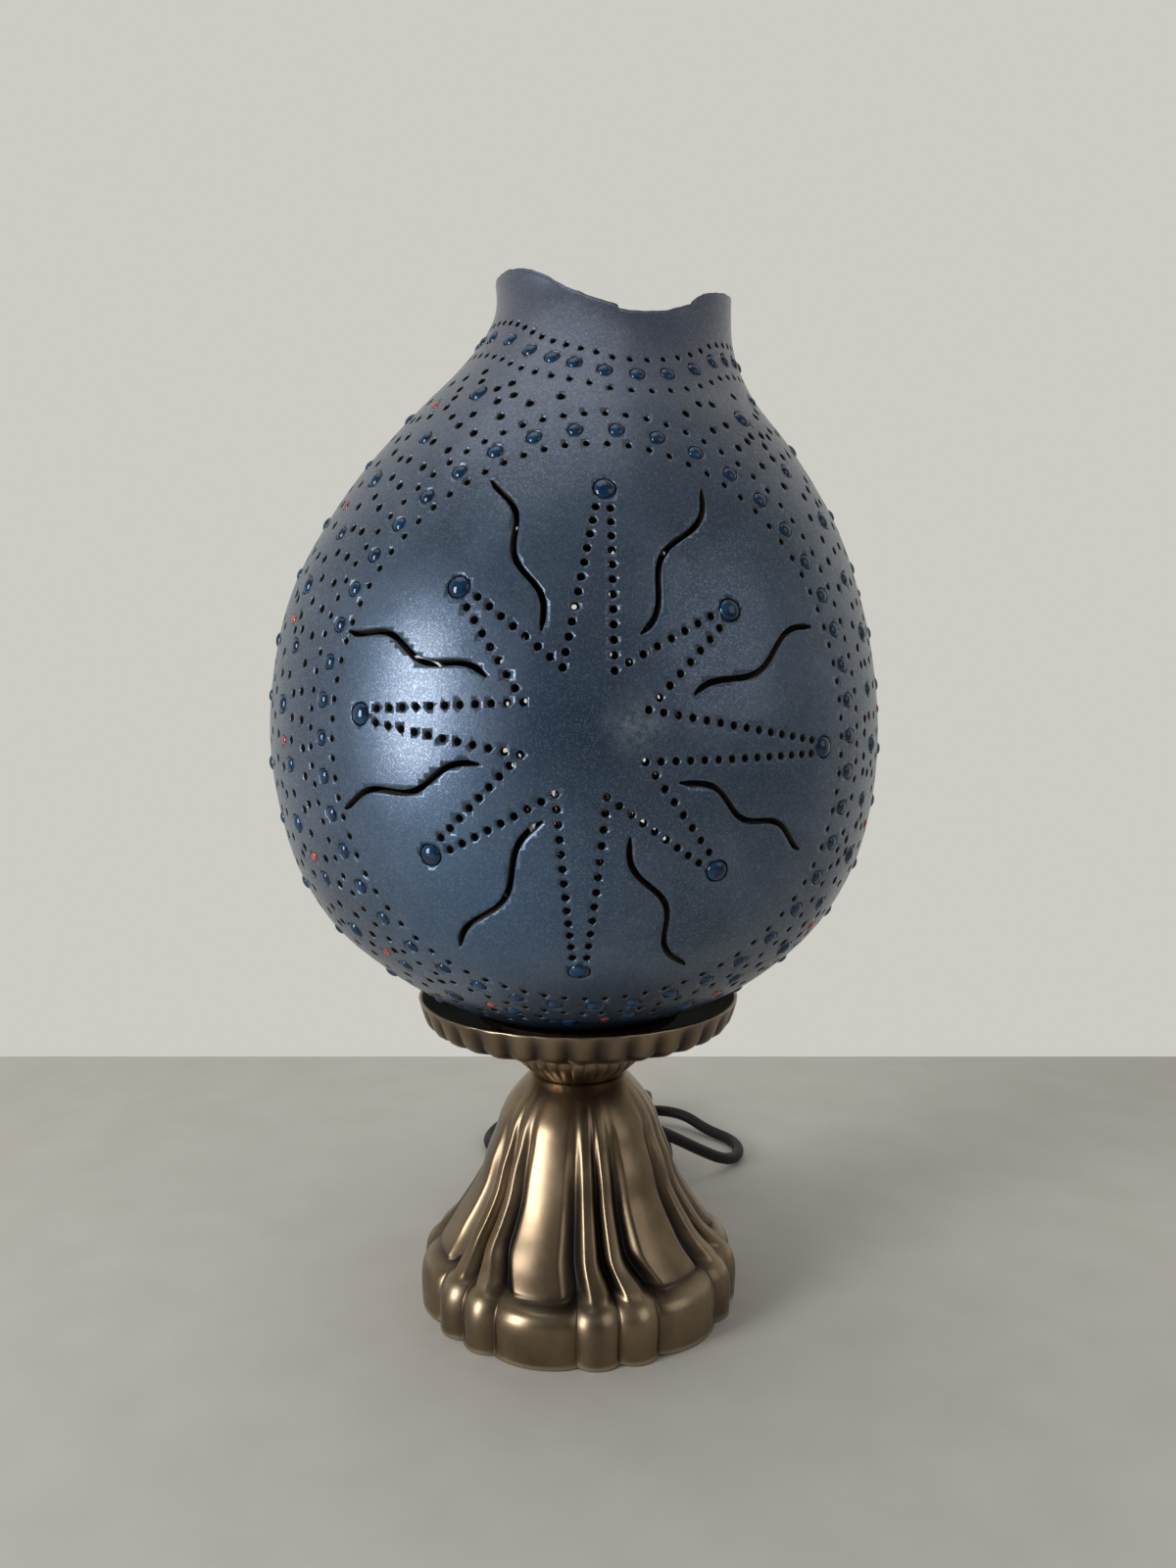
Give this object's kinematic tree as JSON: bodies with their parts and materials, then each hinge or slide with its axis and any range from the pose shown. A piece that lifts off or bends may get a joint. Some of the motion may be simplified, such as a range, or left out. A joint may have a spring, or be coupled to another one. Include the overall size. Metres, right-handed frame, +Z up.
{
  "type": "gourd table lamp",
  "caption": "Pierced blue gourd shade with glass beads and a leaning open neck, set in a lobed brass dish on a fluted bell foot, with a corded bulb holder, switch and plug.",
  "frame": {"origin": "centre of the felt pad's underside, on the table", "axes": "+Z up the stand, -Y towards the front of the lamp, +X to the viewer's right"},
  "size_m": [0.2372, 0.3081, 0.4053],
  "materials": {
    "felt": "dark felt",
    "steel": "zinc plated",
    "antique_brass": "antique brass, dark patina in the grooves",
    "holder_plastic": "black bakelite",
    "insert_ceramic": "unglazed white",
    "contact_brass": "bright brass",
    "bulb_metal": "bright cap",
    "black_glass": "black insulator glass",
    "clear_glass": "clear",
    "filament": "thin wire",
    "bead_glass": "translucent deep blue",
    "blue_paint": "a dried gourd with pearlescent slate blue metallic-flake paint",
    "cord_plastic": "black",
    "rocker_plastic": "black gloss"
  },
  "bodies": {
    "stand": {"felt_pad": "felt", "base_plate": "steel", "lower_washer": "steel", "lower_nut": "steel", "threaded_rod": "steel", "top_nut": "steel", "base_bell": "antique_brass", "neck_cup": "antique_brass", "dish": "antique_brass", "shade_seat": "antique_brass", "holder_cap": "holder_plastic", "holder_sleeve": "holder_plastic", "holder_insert": "insert_ceramic", "thread_shell": "contact_brass", "centre_contact": "contact_brass", "side_contact": "contact_brass", "wire_live": "contact_brass", "cord_gland": "cord_plastic", "inner_lead": "cord_plastic", "wire_neutral": "cord_plastic", "cord_lead": "cord_plastic", "cord_link": "cord_plastic", "cord_coil": "cord_plastic", "cord_tail": "cord_plastic", "switch_lower": "cord_plastic", "switch_upper": "cord_plastic", "plug_body": "cord_plastic", "rocker_pin": "steel", "switch_screw_1": "steel", "switch_screw_2": "steel", "plug_pin_1": "steel", "plug_pin_2": "steel"},
    "shade": {"gourd_shell": "blue_paint", "bead_front_1": "bead_glass", "bead_front_2": "bead_glass", "bead_front_3": "bead_glass", "bead_front_4": "bead_glass", "bead_front_5": "bead_glass", "bead_front_6": "bead_glass", "bead_front_7": "bead_glass", "bead_front_8": "bead_glass", "bead_back_1": "bead_glass", "bead_back_2": "bead_glass", "bead_back_3": "bead_glass", "bead_back_4": "bead_glass", "bead_back_5": "bead_glass", "bead_back_6": "bead_glass", "bead_back_7": "bead_glass", "bead_back_8": "bead_glass"},
    "bulb_feed": {"bulb_tip": "bulb_metal"},
    "bulb": {"bulb_insulator": "black_glass", "bulb_cap": "bulb_metal", "bulb_globe": "clear_glass", "bulb_stem": "clear_glass", "bulb_filament": "filament"},
    "rocker": {"switch_rocker": "rocker_plastic"}
  },
  "joints": [
    {"name": "shade_lift", "type": "slide", "parent": "stand", "child": "shade", "axis": [0, 0, 1], "range_m": [0, 0.12]},
    {"name": "bulb_rise", "type": "slide", "parent": "stand", "child": "bulb_feed", "axis": [0, 0, 1], "range_m": [0, 0.00856]},
    {"name": "bulb_turn", "type": "hinge", "parent": "bulb_feed", "child": "bulb", "pos_m": [0, 0, 0.2], "axis": [0, 0, 1], "range_deg": [0, 1080]},
    {"name": "switch_tilt", "type": "hinge", "parent": "stand", "child": "rocker", "pos_m": [0.0103, 0.1765, 0.0138], "axis": [0, 1, 0], "range_deg": [0, 24]}
  ],
  "couplings": [
    {"joint": "bulb_rise", "follows": "bulb_turn", "m_per_rad": 0.00044882}
  ]
}
